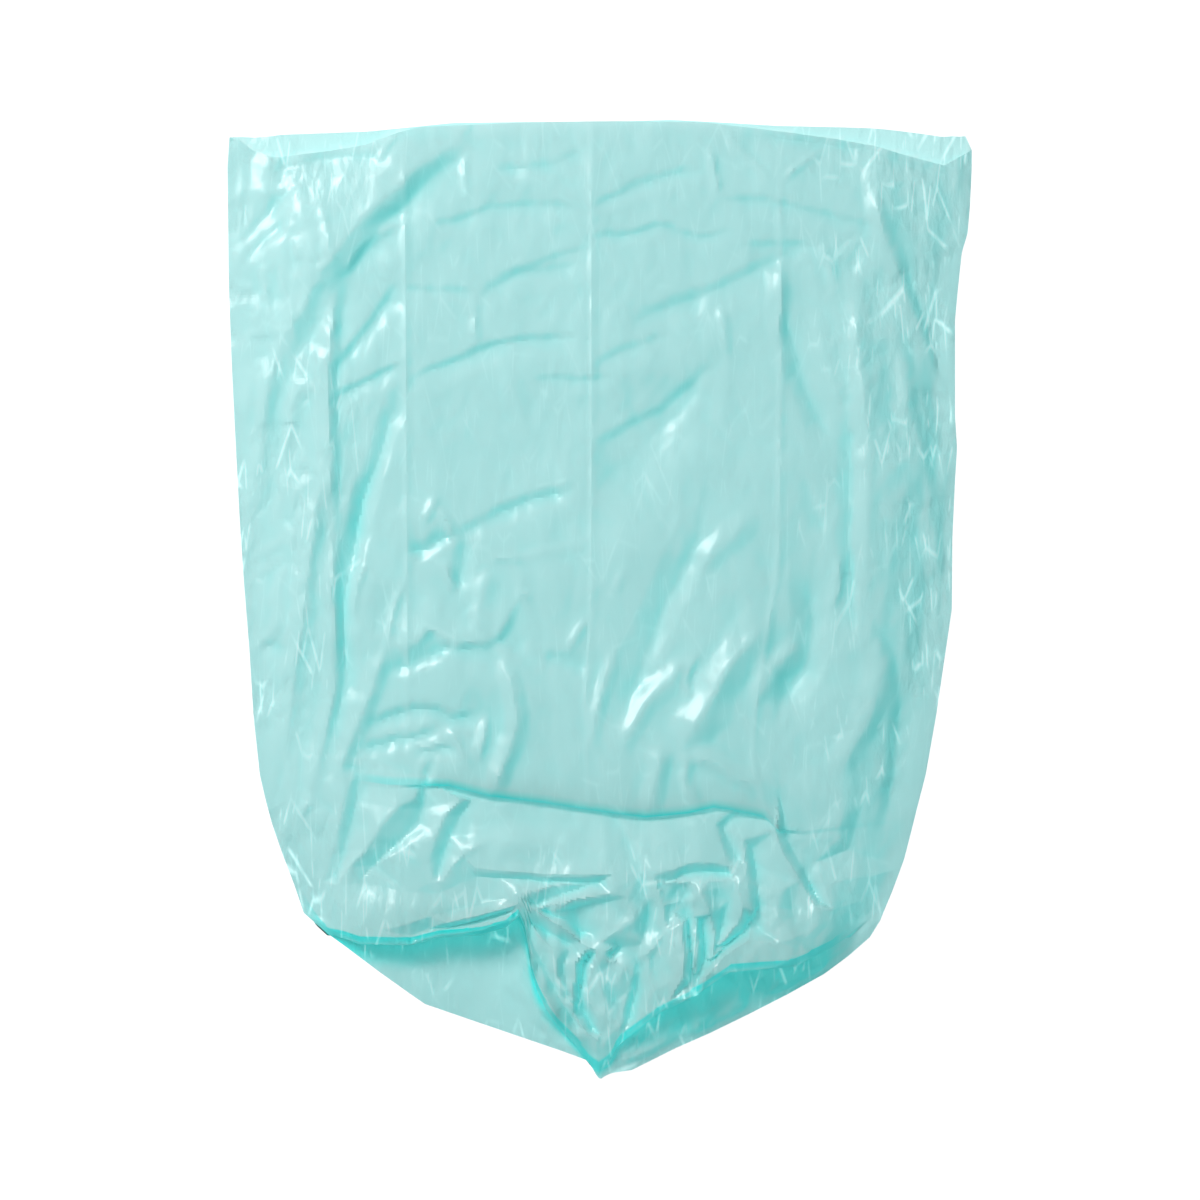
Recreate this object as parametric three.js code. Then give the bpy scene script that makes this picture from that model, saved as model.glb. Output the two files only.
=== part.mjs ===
// A star-sealed trash can liner, opened out of its pack and laid flat on a level surface.
//
// The liner is one piece: a blown tube of thin film, open at the mouth and gathered into one
// small welded star at the other end. It lies on its back film, with a little air inside.
// Millimetres, +Z up. The origin is on the surface that it lies on, under the middle of the
// liner. +Y points to the mouth, -Y to the star seal, and +X to the right as seen from above.

import * as THREE from "three";

// The tube before it is laid out.
const layFlatWidth = 610; // across the flattened tube, at the mouth
const tubeLength = 838; // mouth edge to seal, along the film
const takenUp = 50; // length that the tuck and the gathered bottom take up
const filmWall = 1; // a solid stand-in: the real film is about 0.02 mm thick

// How high it lies.
const edgeHeight = 3.4; // at the two side folds and round the bottom, film on film
const mouthLoft = 10; // under the front film at the mouth
const bodyLoft = 15; // over most of the body
const gatherLoft = 28; // over the bunched film above the seal
const sealHeight = 5; // the welded star itself
const underLoft = 5; // the bottom of the liner, below the bunched film
const sideRoll = 60; // from a side fold in to full height
const bottomRoll = 24; // from the bottom edge in to full height

// Sharp creases left by the packing folds, at the quarters of the tube.
const packCreaseHeight = 1.6;
const packCreaseHalfWidth = 14;
const packShift = -8; // the creases lie a little left of the true quarters

// Where the front film drops: the tuck that overhangs across the lower third, and the rim of
// the bunched film around the bottom.
const tuckDrop = 8;
const tuckSlope = 6; // how wide its steep side is
const rimSlope = 10;
const bottomWeld = 5; // bunched film along the bottom edge

// Folds in the front film.
const foldHeight = 3.5;
const foldHalfWidth = 18;
const gatherFoldHeight = 7;
const gatherFoldHalfWidth = 22;

// The mesh.
const topColumns = 36;
const sideFold = 2.5; // how fast the side folds turn from the front to the back
const sideReach = 12; // how far in the thicker wall at a side fold goes

const halfWidth = layFlatWidth / 2;
const halfLength = (tubeLength - takenUp) / 2;

// Points below are [x, y] as shares of half the width and half the laid length.

// Where the sides run, from the mouth to the corners of the bottom.
const leftSide = [
  [-1.002, 1], [-1, 0.65], [-0.981, 0.32], [-0.959, 0.04], [-0.933, -0.24], [-0.916, -0.365],
  [-0.884, -0.465], [-0.824, -0.59], [-0.7975, -0.653],
];
const rightSide = [
  [1.002, 1], [0.996, 0.82], [0.99, 0.765], [0.9745, 0.72], [0.9564, 0.58], [0.962, 0.317],
  [0.949, 0.127], [0.948, -0.019], [0.905, -0.24], [0.877, -0.365], [0.819, -0.54],
  [0.754, -0.67],
];

// The mouth's two edges: the front film's one lies a little lower near both sides.
const backLip = [
  [-1.002, 0.965], [-0.862, 0.976], [-0.617, 0.978], [-0.393, 0.995], [0.191, 1],
  [0.48, 0.989], [0.741, 0.985], [0.943, 0.978], [1.002, 0.97],
];
const frontLip = [
  [-1.002, 0.965], [-0.94, 0.938], [-0.876, 0.922], [-0.733, 0.934], [-0.544, 0.972],
  [-0.485, 0.984], [-0.175, 0.995], [0.269, 0.995], [0.523, 0.972], [0.741, 0.945],
  [0.927, 0.905], [1.002, 0.938],
];

// The tuck's overhanging edge, with the height as a share of the gathered film's.
const tuckEdge = [
  [-0.91, -0.355, 0.45], [-0.727, -0.366, 0.54], [-0.566, -0.382, 0.7], [-0.472, -0.384, 0.8],
  [-0.137, -0.421, 0.88], [0.121, -0.45, 0.88], [0.304, -0.43, 0.88], [0.444, -0.45, 0.8],
  [0.539, -0.48, 0.62], [0.876, -0.448, 0.45],
];
const tuckEnds = [-0.5, 0.5];
const tuckFade = 0.12; // past its two ends

// A second fold, below the tuck and almost level with it.
const secondFold = [
  [-0.849, -0.542, 0.46], [-0.727, -0.538, 0.57], [-0.485, -0.546, 0.68], [-0.369, -0.536, 0.74],
  [-0.288, -0.565, 0.78], [-0.137, -0.574, 0.84], [0.143, -0.559, 0.9], [0.269, -0.546, 0.9],
  [0.431, -0.559, 0.72], [0.552, -0.588, 0.6], [0.819, -0.559, 0.46],
];

// The rim of the bunched film: from the left ear to the pinch, down to the seal and back up to
// the right ear.
const rimEdge = [
  [-0.797, -0.632, 0.15], [-0.765, -0.671, 0.25], [-0.687, -0.705, 0.6], [-0.504, -0.715, 0.9],
  [-0.321, -0.695, 0.98], [-0.218, -0.657, 0.93], [-0.186, -0.768, 0.8], [-0.151, -0.84, 0.6],
  [-0.059, -0.93, 0.35], [0, -0.976, 0.2], [0.054, -0.922, 0.35], [0.156, -0.859, 0.7],
  [0.264, -0.815, 0.93], [0.345, -0.772, 0.93], [0.52, -0.759, 0.9], [0.622, -0.722, 0.58],
  [0.673, -0.697, 0.33], [0.754, -0.642, 0.15],
];

// The bottom edge, from corner to corner through the seal's tip.
const bottomEdge = [
  [-0.7975, -0.653], [-0.682, -0.725], [-0.514, -0.82], [-0.471, -0.843], [-0.358, -0.873],
  [-0.213, -0.911], [-0.105, -0.94], [-0.032, -0.961], [-0.016, -0.982], [0, -1],
  [0.032, -0.986], [0.118, -0.968], [0.205, -0.934], [0.399, -0.865], [0.604, -0.78],
  [0.671, -0.741], [0.727, -0.703], [0.754, -0.67],
];

// Folds, with their height and half width as shares of the named ones.
const bodyFolds = [
  { from: [-0.76, 0.63], to: [-0.8, -0.43], high: 1, wide: 1 }, // outer left hang
  { from: [-0.66, 0.38], to: [-0.74, -0.48], high: 0.9, wide: 0.8 }, // inner left hang
  { from: [0.67, 0.58], to: [0.75, -0.3], high: 1, wide: 0.9 }, // inner right hang
  { from: [0.86, 0.43], to: [0.86, -0.38], high: 0.9, wide: 0.9 }, // outer right hang
  { from: [-0.59, -0.15], to: [-0.2, -0.16], high: 1, wide: 0.9 }, // puckers over the tuck
  { from: [-0.66, -0.04], to: [-0.77, -0.53], high: 0.9, wide: 1 }, // from the pucker down
  { from: [0.45, -0.05], to: [0.23, -0.36], high: 1.4, wide: 1.1 }, // down to the tuck's corner
  { from: [-0.4, 0.92], to: [-0.75, 0.7], high: 1.3, wide: 1.2 }, // arch at the upper left
  { from: [-0.75, 0.7], to: [-0.88, 0.43], high: 1.3, wide: 1.2 }, // the same arch, lower down
  { from: [-0.13, 0.76], to: [0.56, 0.77], high: -0.6, wide: 1.4 }, // hollow below the mouth
];
const gatherFolds = [
  { from: [-0.5, -0.4], to: [-0.7, -0.57], high: 0.7, wide: 0.9 }, // left of the tuck
  { from: [-0.37, -0.41], to: [-0.45, -0.56], high: 0.7, wide: 0.8 }, // down from the tuck
  { from: [-0.7, -0.67], to: [-0.22, -0.61], high: 0.5, wide: 0.8 }, // along the left rim
  { from: [-0.2, -0.61], to: [0, -0.71], high: 0.8, wide: 0.8 }, // from the pinch
  { from: [0, -0.71], to: [-0.03, -0.86], high: 0.9, wide: 0.8 }, // down to the seal
  { from: [0.22, -0.65], to: [0.19, -0.8], high: 0.8, wide: 0.7 }, // right of the seal
  { from: [0.26, -0.66], to: [0.26, -0.78], high: -1, wide: 0.7 }, // slit at the right pocket
  { from: [0.31, -0.45], to: [0.41, -0.68], high: 0.8, wide: 0.7 }, // down from the tuck
  { from: [0.47, -0.48], to: [0.63, -0.67], high: 0.7, wide: 0.9 }, // right of the tuck
];

const clamp01 = (t) => Math.min(1, Math.max(0, t));
const smooth = (t) => clamp01(t) ** 2 * (3 - 2 * clamp01(t));
const mix = (a, b, t) => a + (b - a) * t;

// Straight runs through points, read as values[column] at a place along values[key].
function runThrough(points, key, column) {
  const order = [...points].sort((a, b) => a[key] - b[key]);
  return (at) => {
    const after = order.findIndex((p) => p[key] >= at);
    if (after <= 0) return order[after === 0 ? 0 : order.length - 1][column];
    const [a, b] = [order[after - 1], order[after]];
    return mix(a[column], b[column], (at - a[key]) / (b[key] - a[key]));
  };
}

const leftShare = runThrough(leftSide, 1, 0);
const rightShare = runThrough(rightSide, 1, 0);
const leftAt = (y) => leftShare(y / halfLength) * halfWidth;
const rightAt = (y) => rightShare(y / halfLength) * halfWidth;

// A line across the liner: its y and its height at a given x, and the y of its two ends.
function lineAcross(points, height) {
  const share = runThrough(points, 0, 1);
  const y = (x) => share(x / halfWidth) * halfLength;
  return { y, height, ends: [y(-halfWidth), y(halfWidth)] };
}

const level = (share) => [[-1, share], [1, share]];
const gathered = (points) => {
  const share = runThrough(points, 0, 2);
  return (x) => share(x / halfWidth) * gatherLoft;
};
const tuckHeight = gathered(tuckEdge);
const tuckShare = (x) => {
  const past = Math.max(tuckEnds[0] - x / halfWidth, x / halfWidth - tuckEnds[1], 0);
  return smooth(1 - past / tuckFade);
};
const bottom = lineAcross(bottomEdge, () => edgeHeight);
const tuck = lineAcross(tuckEdge, tuckHeight);
const tuckFoot = {
  ...tuck,
  y: (x) => tuck.y(x) - tuckSlope,
  height: (x) => tuckHeight(x) - tuckDrop * tuckShare(x),
  ends: tuck.ends.map((y) => y - tuckSlope),
};
const rim = lineAcross(rimEdge, gathered(rimEdge));
const rimFootY = (x) => rim.y(x) - Math.min(rimSlope, 0.4 * (rim.y(x) - bottom.y(x)));
const rimFoot = {
  y: rimFootY,
  height: (x) => (Math.abs(x) < halfWidth * 0.03 ? sealHeight : underLoft),
  ends: [rimFootY(-halfWidth), rimFootY(halfWidth)],
};

// The lines from the mouth down, and how many rows of faces lie below each.
const mouth = lineAcross(frontLip, () => mouthLoft);
const rimLine = { ...rim, rows: 1 };
const lines = [
  { ...mouth, rows: 3 },
  { ...lineAcross(level(0.855), () => mix(mouthLoft, bodyLoft, 0.4)), rows: 9 },
  { ...lineAcross(level(0.31), () => bodyLoft), rows: 9 },
  { ...tuck, rows: 1 },
  { ...tuckFoot, rows: 3 },
  { ...lineAcross(secondFold, gathered(secondFold)), rows: 5 },
  rimLine,
  { ...rimFoot, rows: 3 },
  { ...bottom, rows: 0 },
];
const backMouth = lineAcross(backLip, () => 0);

// A ridge with straight slopes along a line, lower past its two ends.
function ridge(fold, height, reach, x, y) {
  const from = [fold.from[0] * halfWidth, fold.from[1] * halfLength];
  const [dx, dy] = [fold.to[0] * halfWidth - from[0], fold.to[1] * halfLength - from[1]];
  const long = Math.hypot(dx, dy);
  const along = ((x - from[0]) * dx + (y - from[1]) * dy) / long;
  const over = Math.max(-along, along - long, 0);
  const aside = Math.abs((x - from[0]) * dy - (y - from[1]) * dx) / long;
  return height * fold.high * clamp01(1 - Math.hypot(aside, over) / (reach * fold.wide));
}

function packCreases(x, y) {
  const fade = 1 - smooth((0.1 - y / halfLength) / 0.3);
  return [-0.5, 0, 0.5]
    .map((quarter) => quarter * halfWidth + packShift)
    .map((at) => fade * packCreaseHeight * clamp01(1 - Math.abs(x - at) / packCreaseHalfWidth))
    .reduce((sum, height) => sum + height, 0);
}

// The height of the front film over the surface, from the height between the lines across.
function frontHeight(x, y, loft, onBottom) {
  const inset = Math.min(x - leftAt(y), rightAt(y) - x);
  const above = y - bottom.y(x);
  const hem = Math.sqrt(Math.min(smooth(inset / sideRoll), smooth(above / bottomRoll)));
  let folds = packCreases(x, y);
  for (const fold of bodyFolds) folds += ridge(fold, foldHeight, foldHalfWidth, x, y);
  if (!onBottom)
    for (const fold of gatherFolds)
      folds += ridge(fold, gatherFoldHeight, gatherFoldHalfWidth, x, y);
  return Math.max(edgeHeight, edgeHeight + (loft - edgeHeight + folds) * hem);
}

// One row across the liner, as a closed run of points: over the front from left to right, and
// back along the surface. The row lies a share of the way from one line to the next, and that
// share can vary across. The inside lies one wall further in.
function section({ index, share }, wall) {
  const [upper, lower] = [lines[index], lines[Math.min(index + 1, lines.length - 1)]];
  const left = leftAt(mix(upper.ends[0], lower.ends[0], share(-halfWidth)));
  const right = rightAt(mix(upper.ends[1], lower.ends[1], share(halfWidth)));
  const sideWall = 2 * wall;
  const inward = (x) =>
    x +
    sideWall * (1 - smooth((x - left) / sideReach)) -
    sideWall * (1 - smooth((right - x) / sideReach));
  const onBottom = index > lines.indexOf(rimLine);
  const yAt = (x) => mix(upper.y(x), lower.y(x), share(x));
  const backLift = index === 0 ? 1 - share(0) : 0; // the back film reaches up to its own edge
  // the middle column runs down to the seal
  const places = Array.from({ length: topColumns + 1 }, (_, i) => {
    const t = (2 * i) / topColumns - 1;
    return t < 0 ? -t * (left + sideFold) : t * (right - sideFold);
  });
  const front = places.map((x) => {
    const loft = mix(upper.height(x), lower.height(x), share(x));
    return new THREE.Vector3(inward(x), yAt(x), frontHeight(x, yAt(x), loft, onBottom) - wall);
  });
  const back = [...places].reverse().map((x) => {
    const y = yAt(x) + (backMouth.y(x) - mouth.y(x)) * backLift;
    return new THREE.Vector3(inward(x), y, wall);
  });
  const side = (x) => new THREE.Vector3(inward(x), yAt(x), edgeHeight / 2);
  return [side(left), ...front, side(right), ...back];
}

// The film as one closed body: its outside, its inside, the rim at the mouth and the two ends.
function filmGeometry() {
  const rows = lines.flatMap(({ rows }, index) =>
    Array.from({ length: rows }, (_, i) => ({ index, share: () => i / rows }))
  );
  const last = lines.length - 2;
  const upTo = (x) => {
    const gap = lines[last].y(x) - bottom.y(x);
    return 1 - Math.min(bottomWeld, gap / 2) / gap;
  };
  const shared = rows.filter(({ index }) => index < last);
  const lowest = Array.from({ length: lines[last].rows + 1 }, (_, i) => ({
    index: last,
    share: (x) => (upTo(x) * i) / lines[last].rows,
  }));
  const outside = [...rows, { index: last, share: () => 1 }].map((row) => section(row, 0));
  const inside = [...shared, ...lowest].map((row) => section(row, filmWall));
  const points = [...outside, ...inside].flat();
  const around = outside[0].length;
  const insideStart = outside.length * around;
  const at = (start, ring, j) => start + ring * around + (j % around);
  const triangles = [];
  const quad = (a, b, c, d) => triangles.push(a, b, c, a, c, d);
  const skin = (start, rings, inward) => {
    for (let ring = 0; ring + 1 < rings; ring++)
      for (let j = 0; j < around; j++) {
        const [a, b] = [at(start, ring, j), at(start, ring + 1, j)];
        const [c, d] = [at(start, ring + 1, j + 1), at(start, ring, j + 1)];
        if (inward) quad(a, d, c, b);
        else quad(a, b, c, d);
      }
  };
  // an end: the front of the last row joined to the back of the same row
  const end = (start, ring, inward) => {
    const front = (i) => at(start, ring, 1 + i);
    const back = (i) => at(start, ring, around - 1 - i);
    const strip = (a, b, c) => (inward ? triangles.push(a, c, b) : triangles.push(a, b, c));
    strip(at(start, ring, 0), back(0), front(0));
    for (let i = 0; i < topColumns; i++) {
      strip(front(i), back(i), back(i + 1));
      strip(front(i), back(i + 1), front(i + 1));
    }
    strip(front(topColumns), back(topColumns), at(start, ring, topColumns + 2));
  };
  skin(0, outside.length, false);
  skin(insideStart, inside.length, true);
  for (let j = 0; j < around; j++)
    quad(at(0, 0, j), at(0, 0, j + 1), at(insideStart, 0, j + 1), at(insideStart, 0, j));
  end(0, outside.length - 1, false);
  end(insideStart, inside.length - 1, true);
  const geometry = new THREE.BufferGeometry().setFromPoints(points);
  geometry.setIndex(triangles);
  geometry.computeVertexNormals();
  return geometry;
}

// Pale blue-green film with a soft gloss.
const filmMaterial = new THREE.MeshStandardMaterial({
  color: new THREE.Color(0.64, 0.91, 0.89),
  roughness: 0.3,
  metalness: 0,
  side: THREE.DoubleSide,
});

const liner = new THREE.Group();
const film = new THREE.Mesh(filmGeometry(), filmMaterial);
film.name = "liner_film";
liner.add(film);

export default liner;
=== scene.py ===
import math

import bmesh
import bpy
import mathutils
import numpy as np
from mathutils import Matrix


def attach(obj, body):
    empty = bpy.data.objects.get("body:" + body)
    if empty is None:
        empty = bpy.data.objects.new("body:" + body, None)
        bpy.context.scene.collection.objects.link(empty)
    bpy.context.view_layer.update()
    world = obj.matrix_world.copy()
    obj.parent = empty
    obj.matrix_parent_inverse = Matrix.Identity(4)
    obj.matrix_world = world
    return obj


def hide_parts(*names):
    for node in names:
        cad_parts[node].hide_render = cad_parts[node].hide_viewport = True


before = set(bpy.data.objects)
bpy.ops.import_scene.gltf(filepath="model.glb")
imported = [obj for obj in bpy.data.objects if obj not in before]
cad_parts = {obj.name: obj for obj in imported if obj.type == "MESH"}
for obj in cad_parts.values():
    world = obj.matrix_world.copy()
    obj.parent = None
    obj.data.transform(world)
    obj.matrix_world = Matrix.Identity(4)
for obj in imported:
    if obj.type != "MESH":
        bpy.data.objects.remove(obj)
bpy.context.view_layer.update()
print("frame loaded")

# The picture's scale: places in the dictionaries below are in pixels of the 1200 px photograph,
# heights in millimetres.
photo = dict(centre=600.0, metresPerPixel=0.0008217)


def interpolate(pairs, at):
    xs, ys = zip(*pairs)
    return np.interp(at, xs, ys)


def smooth(t):
    t = np.clip(t, 0.0, 1.0)
    return t * t * (3 - 2 * t)


film = dict(
    columns=236,
    rows=[16, 84, 80, 4, 30, 66, 4, 28],  # between the lines across, from the mouth to the bottom
    edgeHeight=0.5,  # film on film at the side folds
    sideRoll=84,
    foldPower=1.15,  # how straight a fold's flanks are
    foldSteepest=0.7,
    foldSoftness=0.8,
    wander=2.2,  # how far the folds stray from their lines
    crispAngle=math.radians(26),
    packingFold=(1.2, 3, 7),  # height, width to the left and to the right
    packingEnds=830,
    packingSteepest=0.6,
    packingSoftness=0.3,
    # loose crumpling in flat facets: where, height, width, length, turn and seed
    crumples=[
        ("middle", 3.2, 52, 90, -62, 21),
        ("sides", 3.6, 22, 110, 6, 24),
        ("all", 1.5, 20, 38, -25, 22),
        ("all", 0.7, 9, 16, 10, 23),
        ("gather", 2.0, 26, 34, 30, 25),
    ],
    flapSpan=(425, 775),
    bottomRoll=26,
    hemFlat=16,  # the film lies flat this close to a side, and a little closer at the bottom
    bottomFlat=14,
    # where the sides run, as (down, across)
    left=[(137, 229.5), (167, 227.6), (287, 229), (368, 232), (448, 236), (523, 240), (582, 244),
          (651, 249.6), (716, 253.6), (775, 260), (799, 265.6), (823, 272), (855, 283),
          (884, 294), (913, 304)],
    right=[(135, 971.9), (170, 971.6), (207, 969.8), (233, 967.6), (253, 961.7), (288, 958),
           (320, 955), (416, 955), (448, 957), (480, 955), (539, 952.3), (609, 951.8),
           (662, 944), (716, 936), (775, 925.6), (811, 916), (859, 904), (891, 892), (921, 880)],
    # the mouth's two edges, as (across, down)
    frontLip=[(228, 137), (240, 140), (252, 150), (275, 158), (328, 152), (366, 146), (398, 134),
              (420, 128), (535, 123), (623, 122), (700, 123), (746, 128), (794, 134), (837, 140),
              (875, 147), (902, 155), (944, 166), (972, 150)],
    backLip=[(228, 137.5), (240, 137), (256, 136.7), (280, 132), (329, 131.6), (371, 131),
             (404, 128), (454, 123), (535, 122), (580, 122.8), (623, 121.4), (671, 120),
             (725, 122.8), (778, 126), (821, 126.8), (875, 127.6), (915, 129.5), (950, 131),
             (958, 134), (972, 134.8)],
    # the three sharp packing creases, as (down, across)
    creases=[
        [(124, 404), (650, 407.6), (764, 410), (1000, 412)],
        [(124, 592), (560, 592), (636, 591), (670, 587), (728, 586), (806, 590), (1079, 597)],
        [(126, 778.8), (333, 780), (480, 778), (574, 777), (614, 768), (650, 764), (684, 757),
         (724, 753), (763, 751), (785, 758), (816, 768), (1000, 745)],
    ],
    creaseShares=[0.236, 0.488, 0.74],
)


# Lines across the liner that the rows of the mesh follow: (across, down) and (across, height).
acrossLines = dict(
    neck=dict(
        run=[(228, 190), (972, 190)],
        high=[(228, 10), (972, 10)],
    ),
    body=dict(
        run=[(228, 450), (972, 450)],
        high=[(228, 14), (972, 14)],
    ),
    tuckEdge=dict(
        run=[(262, 770), (330, 775), (390, 783), (425, 784), (450, 785), (490, 795), (549, 802),
             (591, 809), (645, 816), (687, 812), (713, 806), (728, 808), (765, 816), (775, 828),
             (800, 830), (925, 815)],
        high=[(262, 12), (330, 15), (400, 19), (430, 22), (560, 24), (700, 24), (772, 21),
              (800, 17), (925, 12)],
    ),
    tuckUnder=dict(
        run=[(262, 774), (330, 779), (390, 787), (425, 786), (440, 776), (490, 783), (549, 790),
             (591, 797), (645, 804), (687, 801), (713, 797), (740, 800), (765, 808), (778, 831),
             (800, 834), (925, 819)],
        high=[(262, 12), (330, 15), (400, 18), (430, 17), (560, 15), (700, 15), (765, 13),
              (785, 15), (800, 16), (925, 12)],
    ),
    secondFold=dict(
        run=[(285, 860), (330, 858), (420, 862), (463, 857), (476, 869), (493, 871), (549, 875),
             (607, 875), (653, 868), (700, 862), (760, 868), (805, 882), (904, 868)],
        high=[(285, 13), (360, 16), (430, 19), (500, 22), (600, 24), (700, 25), (770, 18),
              (904, 13)],
    ),
    rimEdge=dict(
        run=[(304, 903), (316, 922), (328, 935), (345, 938), (361, 943), (413, 943), (439, 936),
             (481, 933), (506, 926), (519, 915), (526, 935), (531, 968), (537, 988), (544, 1003),
             (557, 1023), (578, 1046), (590, 1062), (599, 1068), (609, 1060), (620, 1042),
             (634, 1031), (658, 1012), (698, 991), (728, 970), (793, 964), (831, 946),
             (850, 934), (880, 908)],
        high=[(304, 4), (328, 9), (350, 18), (400, 25), (500, 28), (519, 26), (531, 22),
              (560, 16), (590, 6), (600, 5), (612, 8), (660, 20), (700, 26), (790, 25), (831, 16),
              (850, 9), (880, 4)],
    ),
    rimUnder=dict(
        run=[(304, 906), (316, 925), (328, 936), (345, 930), (361, 926), (413, 922), (439, 916),
             (481, 912), (506, 908), (519, 906), (527, 938), (535, 972), (541, 989), (548, 1004),
             (559, 1026), (578, 1050), (590, 1065), (599, 1071), (609, 1063), (618, 1046),
             (630, 1034), (655, 1008), (698, 974), (728, 953), (793, 948), (831, 938),
             (850, 937), (880, 911)],
        high=[(304, 3.5), (328, 5), (350, 4), (500, 4), (519, 6), (531, 7), (560, 6), (590, 4),
              (600, 4), (612, 5), (660, 4), (790, 3.5), (831, 4), (880, 3.5)],
    ),
    outline=dict(
        run=[(304, 913), (327, 933), (347, 947.5), (379, 971.6), (409, 993), (425, 1004),
             (467, 1018.5), (521, 1037), (561, 1050.6), (588, 1060.6), (594, 1070.7), (598, 1078),
             (601, 1079), (605, 1076), (612, 1073), (632, 1070), (644, 1064), (676, 1048),
             (710, 1033), (748, 1014.5), (788, 994), (824, 974), (849, 955.5), (870, 937),
             (880, 920.7)],
        high=[(304, 1.6), (880, 1.6)],
    ),
)

# Broad swells: (across, down, half width, half length, height).
swells = [
    (452, 682, 62, 46, 4.0),
    (548, 588, 46, 44, 2.5),
    (640, 560, 60, 70, 2.5),
    (305, 230, 60, 60, 3.0),
    (700, 450, 60, 60, 2.0),
    (830, 730, 60, 60, 3.0),
    (905, 500, 40, 160, 2.0),
    (520, 840, 90, 24, 3.0),
    (740, 900, 60, 40, 4.0),
    (400, 905, 90, 26, 3.0),
]

# Single folds: (height, width to the left or below, width to the right or above, points).
upperLeftFolds = [
    (6.0, 75, 20, [(455, 140), (415, 172), (378, 203), (345, 240), (322, 275), (300, 318),
                   (275, 350), (266, 385), (262, 430)]),
    (-3.0, 14, 30, [(468, 150), (430, 182), (395, 215), (365, 250), (345, 285)]),
    (2.5, 10, 8, [(398, 224), (372, 237), (352, 258), (342, 278)]),
    (5.0, 18, 9, [(340, 286), (333, 320), (329, 372), (329, 420), (331, 470), (335, 520)]),
    (3.5, 14, 12, [(282, 352), (268, 392), (263, 435), (261, 475), (255, 510)]),
    (2.5, 14, 10, [(301, 380), (291, 430), (283, 480), (276, 520)]),
    (-4.0, 14, 12, [(400, 395), (390, 420), (375, 465), (362, 515), (352, 560)]),
    (-2.5, 5, 16, [(398, 288), (382, 312), (361, 341), (339, 365)]),
    (-2.5, 5, 18, [(403, 366), (371, 381), (350, 389), (339, 397)]),
    (-3.0, 22, 12, [(270, 178), (302, 164), (328, 158), (366, 160), (382, 151), (398, 140)]),
    (2.5, 20, 5, [(399, 137), (386, 150), (377, 162)]),
    (2.0, 6, 8, [(240, 150), (241, 188), (237, 238)]),
    (-1.5, 6, 6, [(300, 180), (288, 191), (262, 220), (237, 245)]),
    (-1.5, 5, 8, [(285, 222), (262, 243), (243, 262)]),
    (1.5, 6, 5, [(325, 210), (329, 240), (333, 262)]),
    (1.2, 5, 4, [(296, 240), (302, 262)]),
    (1.2, 5, 4, [(262, 262), (268, 300), (275, 330)]),
    (1.2, 4, 4, [(280, 262), (288, 300), (300, 345)]),
    (1.0, 4, 4, [(250, 280), (262, 320)]),
]
upperMiddleFolds = [
    (-2.5, 22, 6, [(417, 379), (457, 360), (503, 345), (543, 340), (575, 338)]),
    (-1.2, 10, 4, [(404, 290), (441, 291), (479, 294)]),
    (-1.8, 18, 6, [(479, 303), (497, 285), (521, 275), (556, 271), (586, 263)]),
    (-1.5, 12, 5, [(500, 278), (546, 263), (575, 255), (591, 250)]),
    (-1.6, 14, 5, [(430, 225), (462, 222), (481, 212), (521, 207), (561, 208), (586, 210)]),
    (-1.6, 14, 5, [(497, 172), (535, 168), (564, 160), (583, 152)]),
    (-1.6, 14, 5, [(535, 381), (586, 381), (610, 377)]),
    (1.6, 8, 6, [(474, 300), (475, 344)]),
    (1.2, 6, 5, [(465, 155), (468, 198)]),
    (-2.0, 12, 5, [(594, 207), (633, 188), (660, 178), (698, 170)]),
    (-1.8, 12, 5, [(591, 239), (628, 236), (665, 226), (687, 236), (708, 239), (730, 231)]),
    (-2.2, 16, 6, [(722, 204), (778, 203), (813, 214), (848, 222), (875, 231)]),
    (-1.8, 14, 5, [(743, 247), (778, 245), (810, 246)]),
    (-2.6, 26, 10, [(633, 322), (687, 301), (708, 293), (746, 279), (778, 258), (802, 250)]),
    (-1.8, 20, 8, [(601, 361), (647, 344), (668, 336)]),
    (-2.2, 22, 8, [(596, 445), (633, 429), (668, 405), (706, 373)]),
    (-3.5, 40, 30, [(596, 495), (633, 456), (668, 421), (692, 395), (709, 368)]),
    (3.0, 14, 10, [(779, 262), (779, 300), (777, 340)]),
    (2.0, 5, 6, [(721, 310), (724, 332), (727, 356)]),
    (2.0, 6, 5, [(708, 150), (713, 172), (719, 192)]),
    (1.6, 5, 5, [(724, 130), (745, 158), (770, 182)]),
    (1.4, 4, 5, [(824, 150), (800, 165), (785, 178)]),
    (2.2, 8, 6, [(824, 245), (829, 262), (837, 286)]),
    (-4.5, 16, 26, [(783, 312), (792, 341), (802, 381), (816, 416), (833, 440)]),
    (-2.0, 14, 10, [(803, 480), (815, 505), (822, 535)]),
    (1.6, 5, 8, [(807, 484), (817, 500), (825, 520)]),
]
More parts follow.
